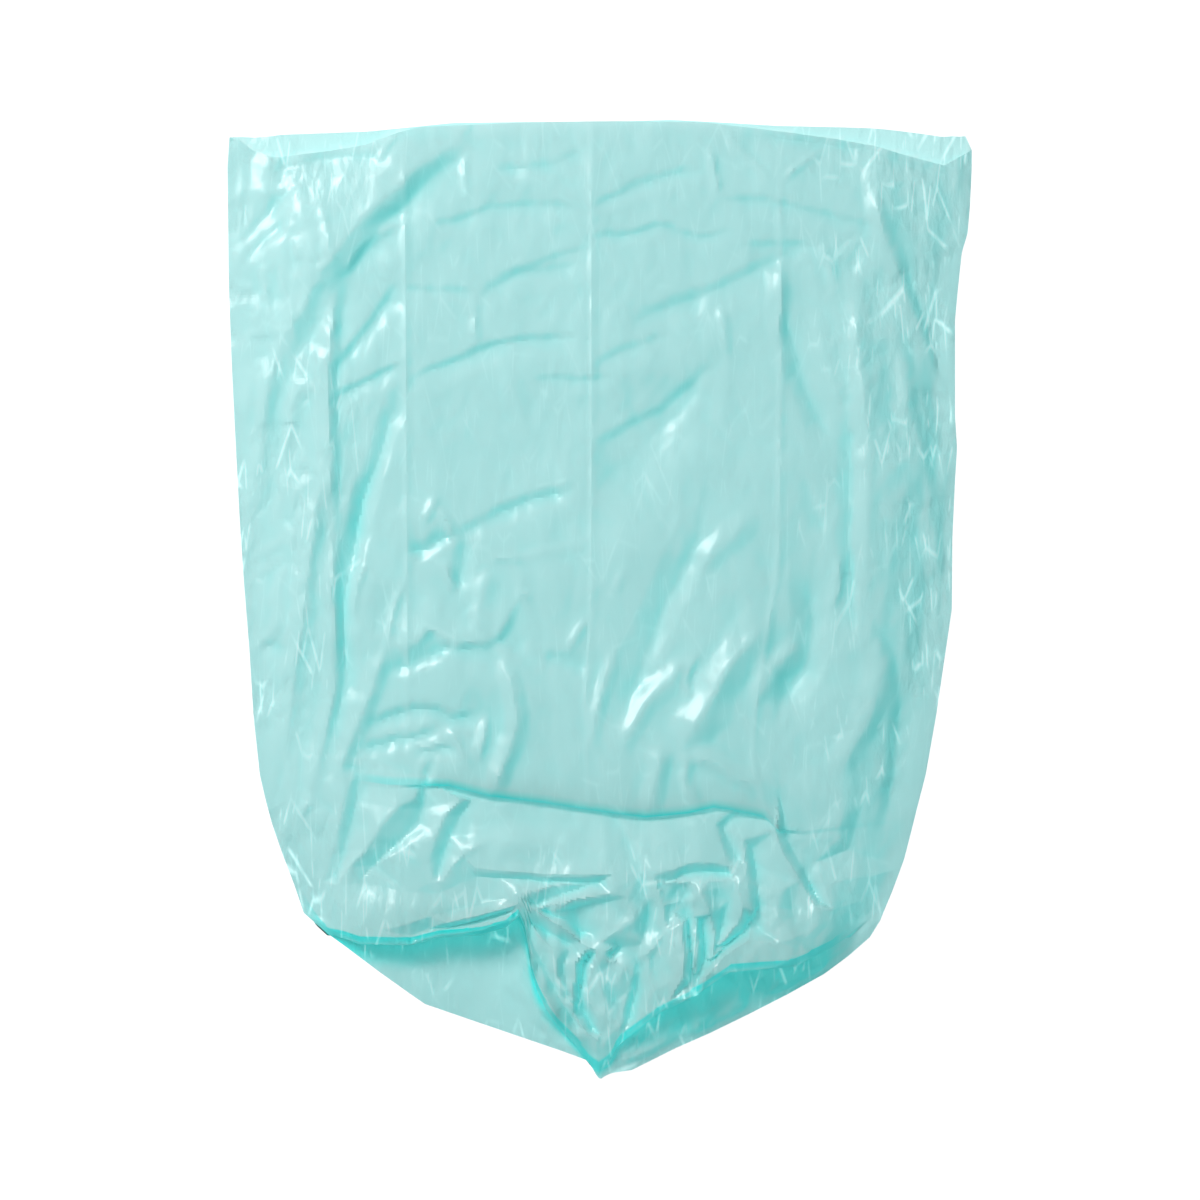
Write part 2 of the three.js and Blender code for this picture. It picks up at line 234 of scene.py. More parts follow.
upperRightFolds = [
    (4.0, 14, 10, [(869, 178), (875, 207), (888, 247), (902, 288), (918, 330), (932, 370),
                   (945, 400)]),
    (2.0, 8, 8, [(904, 163), (928, 194), (950, 220), (963, 231)]),
    (2.5, 10, 8, [(957, 148), (961, 180), (964, 212)]),
    (5.0, 16, 30, [(858, 285), (856, 330), (858, 360), (864, 395), (866, 448), (866, 520),
                   (868, 560), (866, 612)]),
    (-3.0, 14, 5, [(846, 400), (848, 480), (850, 560), (850, 635)]),
    (4.0, 16, 10, [(899, 346), (908, 395), (906, 410), (922, 448), (931, 515), (938, 560),
                   (942, 600)]),
    (-2.5, 8, 14, [(912, 288), (928, 328), (945, 375), (957, 410)]),
    (2.0, 6, 6, [(945, 448), (947, 488)]),
    (-3.0, 16, 10, [(746, 134), (794, 141), (837, 148), (875, 156), (902, 164), (944, 175)]),
]
middleLeftFolds = [
    (5.0, 22, 12, [(326, 478), (318, 507), (312, 545), (309, 582), (300, 641), (293, 708),
                   (288, 752), (290, 800)]),
    (4.5, 16, 8, [(334, 515), (335, 560), (336, 610), (338, 655), (336, 690), (327, 730),
                  (318, 765), (312, 800)]),
    (-4.0, 12, 14, [(372, 470), (364, 505), (356, 540), (350, 570), (345, 620), (345, 680)]),
    (5.0, 20, 12, [(388, 645), (374, 684), (358, 721), (345, 750), (339, 772)]),
    (5.0, 8, 34, [(388, 645), (409, 649), (433, 625), (449, 641), (481, 642), (495, 637),
                  (512, 609), (517, 600)]),
    (-3.0, 10, 10, [(392, 672), (411, 664), (449, 646)]),
    (1.5, 8, 6, [(481, 642), (508, 654), (527, 668)]),
    (5.0, 14, 12, [(503, 656), (512, 684), (517, 716), (515, 735), (508, 757), (499, 778),
                   (491, 794)]),
    (-4.0, 16, 6, [(369, 726), (409, 708), (433, 708), (449, 716), (468, 718), (481, 713)]),
    (3.0, 10, 6, [(486, 718), (484, 740), (480, 756)]),
    (2.0, 6, 6, [(449, 726), (468, 764)]),
    (-3.0, 14, 6, [(361, 748), (387, 740), (411, 737), (441, 727)]),
    (-3.5, 12, 5, [(412, 751), (432, 749), (455, 751)]),
    (-3.0, 5, 6, [(433, 758), (427, 780)]),
    (2.5, 6, 6, [(436, 500), (424, 522)]),
    (2.5, 6, 6, [(436, 509), (446, 518), (452, 534)]),
    (-3.5, 10, 10, [(409, 549), (425, 551), (437, 540), (455, 530)]),
    (2.5, 6, 6, [(441, 566), (448, 574), (455, 588)]),
    (-3.0, 10, 14, [(466, 540), (461, 560), (457, 590)]),
    (-3.0, 16, 8, [(457, 536), (508, 509), (575, 488)]),
    (2.5, 7, 5, [(364, 562), (358, 585), (357, 617)]),
    (1.2, 4, 4, [(371, 574), (387, 592)]),
    (2.0, 6, 6, [(403, 580), (396, 610), (390, 642)]),
    (2.5, 10, 12, [(492, 572), (481, 590), (479, 610), (483, 634)]),
    (1.6, 4, 4, [(516, 595), (532, 598)]),
    (1.0, 3, 4, [(479, 564), (535, 555), (591, 547)]),
    (0.8, 3, 4, [(490, 560), (545, 549), (588, 541)]),
    (2.5, 8, 6, [(586, 620), (577, 634), (571, 650)]),
    (-2.0, 14, 10, [(546, 657), (586, 662)]),
    (3.0, 10, 8, [(284, 560), (281, 590), (277, 630), (262, 644), (252, 652)]),
    (-2.5, 12, 5, [(259, 649), (286, 647)]),
    (1.6, 5, 6, [(280, 694), (267, 721)]),
    (2.5, 8, 6, [(310, 800), (300, 818)]),
    (-4.0, 8, 12, [(286, 838), (300, 868), (314, 900), (322, 925)]),
    (1.5, 5, 5, [(244, 566), (262, 552), (284, 542)]),
    (1.5, 5, 5, [(246, 590), (262, 570), (282, 556)]),
]
middleRightFolds = [
    (-4.0, 24, 20, [(708, 505), (695, 547), (674, 587), (655, 627), (640, 665), (625, 720)]),
    (3.0, 18, 14, [(752, 515), (735, 535), (712, 555), (700, 572)]),
    (3.0, 8, 10, [(613, 650), (603, 680), (597, 710), (592, 745)]),
    (4.0, 16, 14, [(692, 655), (670, 680), (648, 703), (632, 725), (622, 745)]),
    (2.0, 5, 5, [(695, 657), (687, 678), (684, 694)]),
    (7.0, 26, 24, [(768, 620), (750, 640), (730, 665), (714, 690), (700, 718), (686, 738),
                   (677, 746)]),
    (4.0, 16, 20, [(800, 643), (785, 655), (766, 668), (762, 700)]),
    (-4.5, 20, 22, [(808, 575), (812, 620), (806, 662), (790, 690), (776, 712)]),
    (-4.0, 10, 16, [(868, 618), (880, 635), (891, 652), (899, 694), (897, 748), (891, 800),
                    (884, 828)]),
    (4.0, 20, 12, [(878, 665), (874, 700), (864, 728), (848, 752), (836, 770)]),
    (2.0, 8, 4, [(834, 558), (839, 585), (828, 612)]),
    (2.5, 10, 8, [(942, 560), (935, 600), (938, 640), (940, 690), (935, 740), (925, 790),
                  (915, 830)]),
    (3.0, 8, 8, [(682, 750), (687, 764), (682, 783), (698, 804)]),
    (4.0, 10, 14, [(688, 759), (702, 758), (722, 765), (742, 776), (758, 789)]),
    (4.0, 14, 14, [(662, 745), (655, 770), (650, 795), (645, 812)]),
    (1.6, 4, 5, [(622, 574), (617, 592)]),
]
# The creases below the fold across the liner, as (across, down, height): flat facets of film
# run between them.
creases = [
    # the ring where the relief starts
    [(262, 752, 0), (300, 742, 0), (380, 760, 0), (425, 778, 0), (600, 780, 0), (775, 778, 0),
     (850, 745, 0), (925, 780, 0), (904, 868, 0), (880, 908, 0), (850, 936, 0), (831, 948, 0),
     (793, 966, 0), (728, 972, 0), (698, 993, 0), (658, 1014, 0), (634, 1033, 0), (620, 1044, 0),
     (609, 1062, 0), (599, 1070, 0), (590, 1064, 0), (578, 1048, 0), (557, 1025, 0),
     (544, 1005, 0), (537, 990, 0), (531, 970, 0), (524, 936, 1), (519, 917, 3), (506, 928, 1),
     (481, 935, 1), (439, 938, 1), (413, 945, 1), (361, 945, 0), (345, 940, 0), (328, 937, 0),
     (316, 924, 0), (304, 905, 0), (285, 862, 0), (262, 772, 0)],
    # left of the gather
    [(341, 762, 2), (347, 790, 4), (342, 815, 4), (336, 838, 4), (328, 862, 3), (322, 882, 2)],
    [(358, 768, -1), (358, 800, -2), (352, 825, -2), (346, 850, -2), (336, 872, -1)],
    [(416, 796, 6), (398, 808, 6), (380, 826, 6), (367, 848, 5), (350, 866, 4), (338, 884, 3)],
    [(424, 806, -1), (420, 820, -2), (408, 834, -2), (392, 847, -2), (376, 864, -2),
     (362, 882, -1), (352, 900, 0), (342, 916, 0)],
    [(430, 826, 2), (412, 843, 3), (388, 856, 2)],
    [(462, 798, 5), (446, 815, 5), (436, 838, 5), (431, 858, 4), (433, 880, 2)],
    [(474, 798, -1), (462, 814, -2), (452, 834, -2), (445, 850, -2), (440, 870, -1)],
    [(463, 855, 5), (450, 867, 4), (441, 881, 2)],
    [(476, 873, -1), (460, 882, -1), (440, 892, -1), (410, 890, -1), (370, 872, 0)],
    [(350, 924, 1), (381, 928, 3), (408, 922, 3), (432, 914, 2)],
    [(506, 897, 1), (480, 903, -2), (452, 909, -2)],
    [(516, 904, 5), (497, 910, 5), (470, 916, 4.5), (448, 921, 3.5)],
    [(513, 909, 0), (495, 914, -4), (470, 921, -4), (450, 926, -3), (430, 927, -2),
     (412, 934, -1)],
    [(515, 916, 4), (500, 922, 4), (480, 928, 4), (440, 933, 3.5), (416, 939, 2)],
    # below the second fold
    [(465, 857, 3), (477, 868, 3), (495, 869, 4), (549, 873, 5), (610, 873, 6)],
    [(480, 876, -2), (500, 876, -2), (549, 880, -3), (598, 880, -3)],
    [(521, 898, 6), (534, 890, 4), (554, 882, 1)],
    [(538, 902, -3), (565, 892, -4), (594, 882, -3)],
    [(545, 905, 1), (575, 898, 5), (612, 892, 5)],
    [(550, 911, -6), (575, 907, -6), (608, 899, -2)],
    [(612, 874, 5), (628, 895, 5), (634, 917, 4), (616, 929, 3), (602, 941, 2)],
    [(640, 872, 0), (647, 900, -2), (648, 925, -4), (640, 943, -4)],
    [(655, 872, 4), (663, 903, 3), (665, 928, 3)],
    # from the pinch to the seal
    [(521, 901, 6), (536, 908, 5), (557, 921, 5), (570, 931, 5), (583, 942, 5), (594, 948, 5),
     (606, 949, 5)],
    [(547, 907, -1), (566, 918, -4), (580, 933, -6), (590, 930, -3)],
    [(530, 924, -1), (545, 930, -3), (568, 942, -2)],
    [(517, 942, 1), (529, 966, 3), (542, 988, 3), (551, 1003, 2), (563, 1022, 1)],
    [(530, 938, -1), (543, 962, -3), (553, 985, -3), (562, 1000, -3), (574, 1020, -2)],
    [(541, 934, 4), (552, 946, 5), (556, 960, 5), (557, 972, 4), (561, 986, 3)],
    [(570, 948, 1), (564, 962, 0), (565, 978, -1), (570, 992, -1), (574, 1006, -2)],
    [(588, 948, 6), (577, 962, 6), (576, 978, 5), (573, 990, 5), (573, 1003, 4),
     (577, 1018, 3)],
    [(592, 953, -5), (583, 963, -6), (583, 976, -6), (579, 990, -6), (581, 1003, -6),
     (586, 1015, -5), (592, 1028, -4)],
    [(597, 953, 5), (589, 966, 5), (588, 985, 5), (587, 997, 4), (596, 1015, 4),
     (601, 1034, 2)],
    [(607, 955, 5), (618, 962, 3), (632, 973, 3), (628, 990, 2), (624, 1006, 1),
     (619, 1030, 1), (612, 1050, 0)],
    [(606, 965, 3), (600, 985, 4), (604, 1010, 4), (607, 1034, 2)],
    [(622, 946, -5), (610, 953, -4)],
    [(634, 955, -3), (640, 973, -5), (633, 1003, -6), (630, 1015, -6), (625, 1030, -3)],
    [(646, 952, 1), (650, 983, 2), (646, 1005, 2), (638, 1019, 0)],
    [(577, 1036, 4), (586, 1032, 6), (597, 1037, 6), (602, 1044, 3), (596, 1052, 2)],
    # right of the seal
    [(652, 958, -3), (657, 985, -1), (655, 1003, -1)],
    [(683, 920, 6), (684, 950, 6), (681, 976, 5), (668, 1000, 3)],
    [(688, 917, -2), (689, 940, -6), (691, 966, -6), (688, 982, -5)],
    [(695, 914, 5), (696, 940, 4), (694, 960, 2)],
    [(702, 918, -4), (704, 940, -8), (704, 957, -9), (697, 977, -7)],
    [(710, 912, 5), (716, 938, 3), (712, 955, 0)],
    [(729, 898, 0), (722, 923, -3), (716, 944, -3)],
    [(736, 885, 6), (742, 905, 6), (738, 921, 5), (724, 938, 4)],
    [(742, 838, 3), (745, 870, 5), (747, 890, 5), (752, 909, 5)],
    [(750, 920, -6), (745, 931, -6), (728, 942, -5), (712, 957, -6), (701, 973, -6)],
    [(752, 848, -2), (756, 880, -3), (758, 903, -2)],
    [(706, 973, 2), (722, 953, 5), (748, 938, 6), (775, 941, 6), (800, 932, 5)],
    [(768, 862, 1), (775, 888, 2), (790, 908, 1)],
    [(774, 830, 5), (781, 848, 5), (800, 880, 5), (815, 905, 5), (825, 921, 4), (834, 934, 2)],
    [(786, 838, -3), (807, 878, -3), (819, 900, -2)],
    [(836, 800, 3), (840, 820, 4), (838, 838, 3)],
    [(815, 862, -3), (848, 850, -2), (862, 800, -1)],
    [(823, 883, 3), (831, 908, 4), (838, 926, 2)],
    [(871, 875, 3), (860, 900, 3), (848, 922, 1)],
    # above the right pocket
    [(672, 878, -1), (678, 866, 4), (690, 861, 4), (712, 861, 4), (728, 866, 3)],
    [(682, 872, -2), (711, 869, -3), (728, 872, -2)],
    [(656, 880, 3), (690, 879, 3), (703, 880, 4)],
    [(672, 910, -3), (682, 898, -3), (688, 890, -2)],
    [(691, 900, 4), (698, 889, 5), (708, 878, 5)],
    [(714, 821, 4), (728, 863, 4), (734, 878, 3)],
    [(722, 826, -1), (736, 858, -1)],
    [(502, 804, 2), (504, 820, 2), (498, 836, 1)],
]


def alongLine(x, y, points):
    # distance to a line of points, the side it lies on and how far along the nearest place is
    best = np.full(x.shape, 1e9)
    side = np.zeros(x.shape)
    along = np.zeros(x.shape)
    lengths = [math.dist(a, b) for a, b in zip(points, points[1:])]
    gone = 0.0
    for (ax, ay), (bx, by), length in zip(points, points[1:], lengths):
        dx, dy = bx - ax, by - ay
        t = np.clip(((x - ax) * dx + (y - ay) * dy) / (length * length), 0, 1)
        gap = np.hypot(x - ax - t * dx, y - ay - t * dy)
        near = gap < best
        best = np.where(near, gap, best)
        side = np.where(near, np.sign((x - ax) * dy - (y - ay) * dx), side)
        along = np.where(near, gone + t * length, along)
        gone += length
    return best, side, along / gone


def rounded(points):
    # one pass of corner cutting, with both ends kept
    out = [points[0]]
    for (ax, ay), (bx, by) in zip(points, points[1:]):
        out += [(ax * 0.75 + bx * 0.25, ay * 0.75 + by * 0.25),
                (ax * 0.25 + bx * 0.75, ay * 0.25 + by * 0.75)]
    return out + [points[-1]]


def facetNet(x, y):
    # height of the net of creases at each place, by the flat triangle it falls in
    points = [mathutils.Vector(point[:2]) for line in creases for point in line]
    heights = [point[2] for line in creases for point in line]
    edges = []
    count = 0
    for line in creases:
        edges += [(count + i, count + i + 1) for i in range(len(line) - 1)]
        count += len(line)
    corners, _, triangles, origins, _, _ = mathutils.geometry.delaunay_2d_cdt(
        points, edges, [], 0, 0.001)
    tall = [np.mean([heights[i] for i in origin]) if origin else 0.0 for origin in origins]
    out = np.zeros(x.shape)
    for a, b, c in triangles:
        (ax, ay), (bx, by), (cx, cy) = corners[a], corners[b], corners[c]
        near = ((x >= min(ax, bx, cx)) & (x <= max(ax, bx, cx))
                & (y >= min(ay, by, cy)) & (y <= max(ay, by, cy)))
        if not near.any():
            continue
        area = (bx - ax) * (cy - ay) - (cx - ax) * (by - ay)
        px, py = x[near] - ax, y[near] - ay
        second = (px * (cy - ay) - (cx - ax) * py) / area
        third = ((bx - ax) * py - px * (by - ay)) / area
        inside = (second >= -1e-6) & (third >= -1e-6) & (second + third <= 1 + 1e-6)
        height = tall[a] + (tall[b] - tall[a]) * second + (tall[c] - tall[a]) * third
        out[near] = np.where(inside, height, out[near])
    return out


def addFold(z, x, y, fold, steepest, soft):
    height, low, high, points = fold
    slope = film["foldPower"] * abs(height) / (min(low, high) * 0.82)
    height *= min(1, steepest / slope)
    reach = max(low, high) + 2
    xs, ys = zip(*points)
    near = ((x > min(xs) - reach) & (x < max(xs) + reach)
            & (y > min(ys) - reach) & (y < max(ys) + reach))
    if not near.any():
        return
    gap, side, along = alongLine(x[near], y[near], rounded(points))
    width = np.where(side > 0, high, low)
    gap = np.sqrt(gap * gap + soft * soft) - soft
    body = np.clip(1 - gap / width, 0, 1) ** film["foldPower"]
    ends = np.minimum(1.0, 0.25 + np.minimum(along, 1 - along) * 4.5)
    z[near] += height * body * ends


def waves(x, y, size, seed):
    # smooth noise between -1 and 1
    table = np.random.default_rng(seed).uniform(-1, 1, (64, 64))
    px, py = x / size + 31.7, y / size + 17.3
    i, j = np.floor(px).astype(int), np.floor(py).astype(int)
    fx, fy = smooth(px - i), smooth(py - j)
    at = lambda a, b: table[(i + a) % 64, (j + b) % 64]
    low = at(0, 0) * (1 - fx) + at(1, 0) * fx
    high = at(0, 1) * (1 - fx) + at(1, 1) * fx
    return low * (1 - fy) + high * fy


def facets(x, y, wide, long, turn, seed):
    # flat facets that meet in sharp creases, between -1 and 1
    table = np.random.default_rng(seed)
    heights = table.uniform(-1, 1, (64, 64))
    split = table.random((64, 64)) > 0.5
    c, s = math.cos(math.radians(turn)), math.sin(math.radians(turn))
    px = (x * c + y * s) / wide
    py = (y * c - x * s) / long
    px, py = px + 0.4 * waves(px, py, 1.7, seed + 1), py + 0.4 * waves(px, py, 1.7, seed + 2)
    i, j = np.floor(px).astype(int), np.floor(py).astype(int)
    fx, fy = px - i, py - j
    at = lambda a, b: heights[(i + a) % 64, (j + b) % 64]
    h00, h10, h01, h11 = at(0, 0), at(1, 0), at(0, 1), at(1, 1)
    one = np.where(fx > fy, h00 + (h10 - h00) * fx + (h11 - h10) * fy,
                   h00 + (h11 - h01) * fx + (h01 - h00) * fy)
    other = np.where(fx + fy < 1, h00 + (h10 - h00) * fx + (h01 - h00) * fy,
                     h11 + (h01 - h11) * (1 - fx) + (h10 - h11) * (1 - fy))
    return np.where(split[i % 64, j % 64], one, other)


# The rows' place down the liner: each line across, and shares between them.
lines = [dict(run=film["frontLip"], high=[(228, 3), (300, 8), (972, 8)])]
lines += [acrossLines[name] for name in ("neck", "body", "tuckEdge", "tuckUnder", "secondFold",
                                         "rimEdge", "rimUnder", "outline")]
rowStarts = np.cumsum([0] + film["rows"])
rowCount = rowStarts[-1]


def columnAt(u, down, downLeft, downRight):
    knots = [interpolate(film["left"], downLeft)]
    knots += [interpolate(crease, down) for crease in film["creases"]]
    knots += [interpolate(film["right"], downRight)]
    shares = [0] + film["creaseShares"] + [1]
    x = np.zeros(u.shape)
    for k in range(4):
        t = (u - shares[k]) / (shares[k + 1] - shares[k])
        x = np.where((t >= 0) & (t <= 1), knots[k] + (knots[k + 1] - knots[k]) * t, x)
    return x


def frontFilm(u, v):
    # the front film's place for a share across and a row number down
    k = np.clip(np.searchsorted(rowStarts, v, side="right") - 1, 0, len(lines) - 2)
    t = (v - rowStarts[k]) / (rowStarts[k + 1] - rowStarts[k])
    ends = np.array([[line["run"][0][1], line["run"][-1][1]] for line in lines])
    downLeft = ends[k, 0] * (1 - t) + ends[k + 1, 0] * t
    downRight = ends[k, 1] * (1 - t) + ends[k + 1, 1] * t
    down = downLeft * (1 - u) + downRight * u
    for _ in range(3):
        x = columnAt(u, down, downLeft, downRight)
        tables = np.array([interpolate(line["run"], x) for line in lines])
        upper = np.take_along_axis(tables, k[None], 0)[0]
        lower = np.take_along_axis(tables, k[None] + 1, 0)[0]
        down = upper * (1 - t) + lower * t
    heights = np.array([interpolate(line["high"], x) for line in lines])
    upper = np.take_along_axis(heights, k[None], 0)[0]
    lower = np.take_along_axis(heights, k[None] + 1, 0)[0]
    z = upper * (1 - t) + lower * t
    return x, down, z, downLeft, downRight


def layFront(u, v):
    x, y, z, downLeft, downRight = frontFilm(u, v)
    wander = film["wander"]
    wx = x + wander * waves(x, y, 26, 11) + 0.5 * wander * waves(x, y, 11, 12)
    wy = y + wander * waves(x, y, 26, 13) + 0.5 * wander * waves(x, y, 11, 14)
    relief = np.zeros(x.shape)
    for fold in (upperLeftFolds + upperMiddleFolds + upperRightFolds + middleLeftFolds
                 + middleRightFolds):
        addFold(relief, wx, wy, fold, film["foldSteepest"], film["foldSoftness"])
    net = facetNet(x + 0.4 * (wx - x), y + 0.4 * (wy - y))
    flapLeft, flapRight = film["flapSpan"]
    underFlap = (x > flapLeft) & (x < flapRight) & (v < rowStarts[4])
    relief += np.where(underFlap | (v > rowStarts[6]), 0, net)
    for cx, cy, rx, ry, h in swells:
        gone = np.clip(np.hypot((x - cx) / rx, (y - cy) / ry), 0, 1)
        relief += h * smooth(1 - gone)
    for crease in film["creases"]:
        line = [(across, down) for down, across in crease if down < film["packingEnds"]]
        addFold(relief, x, y, (*film["packingFold"], line), film["packingSteepest"],
                film["packingSoftness"])
    # loose crumpling, livelier to the sides and in the gather
    gather = smooth((y - 850) / 60) * smooth((x - 470) / 60) * smooth((860 - x) / 60)
    sides = np.clip(1 - np.minimum(x - 250, 950 - x) / 130, 0, 1)
    lively = 0.6 + 0.5 * sides + 1.4 * gather
    share = dict(all=lively, middle=lively * (1 - 0.6 * sides), sides=lively * sides,
                 gather=gather)
    for where, high, wide, long, turn, seed in film["crumples"]:
        relief += share[where] * high * facets(x, y, wide, long, turn, seed)
    # lower towards the side folds, and flat on the back film there
    leftX = interpolate(film["left"], downLeft)
    rightX = interpolate(film["right"], downRight)
    inset = np.minimum(x - leftX, rightX - x)
    roll = smooth(0.12 + 0.88 * inset / film["sideRoll"])
    bottom = interpolate(acrossLines["outline"]["run"], x)
    skirt = np.sqrt(smooth((bottom - y) / film["bottomRoll"]))
    hem = np.minimum(roll, skirt)
    loose = np.minimum(smooth(inset / film["hemFlat"]),
                       smooth((bottom - y) / film["bottomFlat"]))
    crumple = relief * (0.45 + 0.55 * roll) * loose
    z = film["edgeHeight"] + (z - film["edgeHeight"]) * hem + crumple
    return x, y, np.maximum(z, film["edgeHeight"])


def layBack(u, v):
    # the back film lies on the floor, below the front film, inside the same outline
    x, y, _, downLeft, downRight = frontFilm(u, v)
    lip = interpolate(film["backLip"], x)
    front = interpolate(film["frontLip"], x)
    fade = smooth((260 - y) / 130)
    y = y + (lip - front) * fade
    leftX = interpolate(film["left"], downLeft)
    rightX = interpolate(film["right"], downRight)
    inset = np.minimum(x - leftX, rightX - x)
    bottom = interpolate(acrossLines["outline"]["run"], x)
    rim = np.minimum(inset, np.maximum(bottom - y, 0))
    crumple = 0.35 + 0.3 * facets(x, y, 40, 60, 15, 31) + 0.1 * facets(x, y, 14, 20, -20, 32)
    z = film["edgeHeight"] + (crumple - film["edgeHeight"]) * smooth(rim / 14)
    return x, y, np.maximum(z, 0.05)


# Painted shade: where the film's colour is made deeper to stand for shade.
shade = dict(
    slope=(0.75, -0.65, -0.04),  # shares of a normal's parts that face away from the light
    slopeShade=1.1,
    hollowShade=0.1,
    hollowRounds=30,
    rimReach=[(330, 26), (520, 32), (560, 10), (620, 12), (700, 60), (850, 40)],
    flapShadow=0.85,
    flapWidth=3.5,
    mouthShade=0.22,
)


def paintedShadeUnder(x, y):
    # painted shade below the gathered rim, a thin painted shadow where the film runs in under the
    # flap, and painted shade on the back film seen in the mouth
    # painted shade below the gathered rim, fading with distance from it
    below = y - interpolate(acrossLines["rimEdge"]["run"], x)
    bite = smooth((x - 296) / 40) * smooth((850 - x) / 40)
    under = bite * (below > -8) * smooth(1.1 - below / interpolate(shade["rimReach"], x))
    # a thin painted shadow along the flap's edge, where the film runs in under it
    gap = np.abs(y - interpolate(acrossLines["tuckEdge"]["run"], x) + 2)
    along = smooth((x - 350) / 40) * smooth((790 - x) / 30)
    under += shade["flapShadow"] * along * smooth(1.2 - gap / shade["flapWidth"])
    # painted shade on the back film seen in the mouth
    return under + shade["mouthShade"] * (y < interpolate(film["frontLip"], x) - 0.5)


def addPaintedShade(mesh, under):
    # painted shade: the colour is made deeper in hollows and on slopes that face away from the key
    # light and only see light through the film, standing for the shade there
    count = len(mesh.vertices)
    normals = np.zeros(count * 3)
    mesh.vertex_normals.foreach_get("vector", normals)
    normals = normals.reshape(-1, 3)
    # painted shade on slopes that face away from the key light at the upper left
    across, along, offset = shade["slope"]
    away = np.clip(across * normals[:, 0] + along * normals[:, 1] + offset, 0, 1)
    place = np.zeros(count * 3)
    mesh.vertices.foreach_get("co", place)
    z = place.reshape(-1, 3)[:, 2] * 1000
    ends = np.zeros(len(mesh.edges) * 2, dtype=int)
    mesh.edges.foreach_get("vertices", ends)
    a, b = ends.reshape(-1, 2).T
    # painted shade in hollows: how far each point lies below the smoothed heights around it
    around = z.copy()
    joined = np.bincount(a, minlength=count) + np.bincount(b, minlength=count)
    for _ in range(shade["hollowRounds"]):
        total = np.bincount(a, around[b], count) + np.bincount(b, around[a], count)
        around = 0.4 * around + 0.6 * total / joined
    hollow = around - z
    paintedShade = shade["slopeShade"] * away + shade["hollowShade"] * hollow
    paintedShade = np.clip(paintedShade * smooth((z - 1.5) / 3) + under, 0, 1)
    layer = mesh.attributes.new("paintedShade", "FLOAT", "POINT")
    layer.data.foreach_set("value", paintedShade)


def addCrinkle(mesh, x, y):
    # where the film is finely crinkled: in patches, mostly along the sides and in the gather,
    # which also get the most painted glints
    sides = smooth(1.15 - np.minimum(x - 235, 960 - x) / 170)
    bottom = smooth((y - 800) / 80)
    patches = smooth(0.5 + 1.3 * waves(x, y, 38, 41) + 0.5 * waves(x, y, 15, 42))
    crinkle = 0.02 + (0.1 + 0.88 * np.maximum(sides, 0.6 * bottom)) * patches
    layer = mesh.attributes.new("crinkle", "FLOAT", "POINT")
    layer.data.foreach_set("value", crinkle)


def makeFilm():
    columns = film["columns"]
    bm = bmesh.new()
    bmesh.ops.create_grid(bm, x_segments=columns, y_segments=int(rowCount), size=0.5)
    frontVerts = set(bm.verts)
    bmesh.ops.translate(bm, verts=bm.verts[:], vec=(0, 0, 1))
    bmesh.ops.create_grid(bm, x_segments=columns // 2, y_segments=int(rowCount) // 2, size=0.5)
    hem = [e for e in bm.edges if e.is_boundary and e.verts[0] not in frontVerts
           and not all(v.co.y > 0.4999 for v in e.verts)]
    bmesh.ops.subdivide_edges(bm, edges=hem, cuts=1)
    backFaces = [f for f in bm.faces if all(v.co.z < 0.5 for v in f.verts)]
    bmesh.ops.reverse_faces(bm, faces=backFaces)
    mesh = bpy.data.meshes.new("liner_film")
    bm.to_mesh(mesh)
    bm.free()
    co = np.zeros(len(mesh.vertices) * 3)
    mesh.vertices.foreach_get("co", co)
    co = co.reshape(-1, 3)
    u = co[:, 0] + 0.5
    v = (0.5 - co[:, 1]) * rowCount
    isFront = co[:, 2] > 0.5
    x, y, z = layFront(u, v)
    bx, by, bz = layBack(u, v)
    onHem = (u < 1e-6) | (u > 1 - 1e-6) | (v > rowCount - 1e-4)
    bx, by, bz = (np.where(onHem, f, b) for f, b in ((x, bx), (y, by), (z, bz)))
    x, y, z = (np.where(isFront, f, b) for f, b in ((x, bx), (y, by), (z, bz)))
    k = photo["metresPerPixel"]
    co = np.stack([(x - photo["centre"]) * k, (photo["centre"] - y) * k, z * 0.001], axis=1)
    mesh.vertices.foreach_set("co", co.ravel())
    bm = bmesh.new()
    bm.from_mesh(mesh)
    hem = [v for v in bm.verts if v.is_boundary]
    bmesh.ops.remove_doubles(bm, verts=hem, dist=0.00002)
    for face in bm.faces:
        face.smooth = True
    for edge in bm.edges:  # the two films meet in a sharp fold, and steep creases are crisp
        if len(edge.link_faces) == 2:
            edge.smooth = edge.calc_face_angle() < film["crispAngle"]
    bm.to_mesh(mesh)
    bm.free()
    place = np.zeros(len(mesh.vertices) * 3)
    mesh.vertices.foreach_get("co", place)
    x = place.reshape(-1, 3)[:, 0] / k + photo["centre"]
    y = photo["centre"] - place.reshape(-1, 3)[:, 1] / k
    addPaintedShade(mesh, paintedShadeUnder(x, y))
    addCrinkle(mesh, x, y)
    piece = bpy.data.objects.new("liner_film_look", mesh)
    bpy.context.collection.objects.link(piece)
    return piece


class Wire:
    # a socket that takes part in sums

    def __init__(self, shader, socket):
        self.shader = shader
        self.socket = socket

    def sum(self, operation, first, second):
        return self.shader.node("ShaderNodeMath", dict(operation=operation), {0: first, 1: second})

    def __add__(self, other):
        return self.sum("ADD", self, other)

    __radd__ = __add__

    def __sub__(self, other):
        return self.sum("SUBTRACT", self, other)

    def __rsub__(self, other):
        return self.sum("SUBTRACT", other, self)

    def __mul__(self, other):
        return self.sum("MULTIPLY", self, other)

    __rmul__ = __mul__

    def atMost(self, top):
        return self.sum("MINIMUM", self, top)


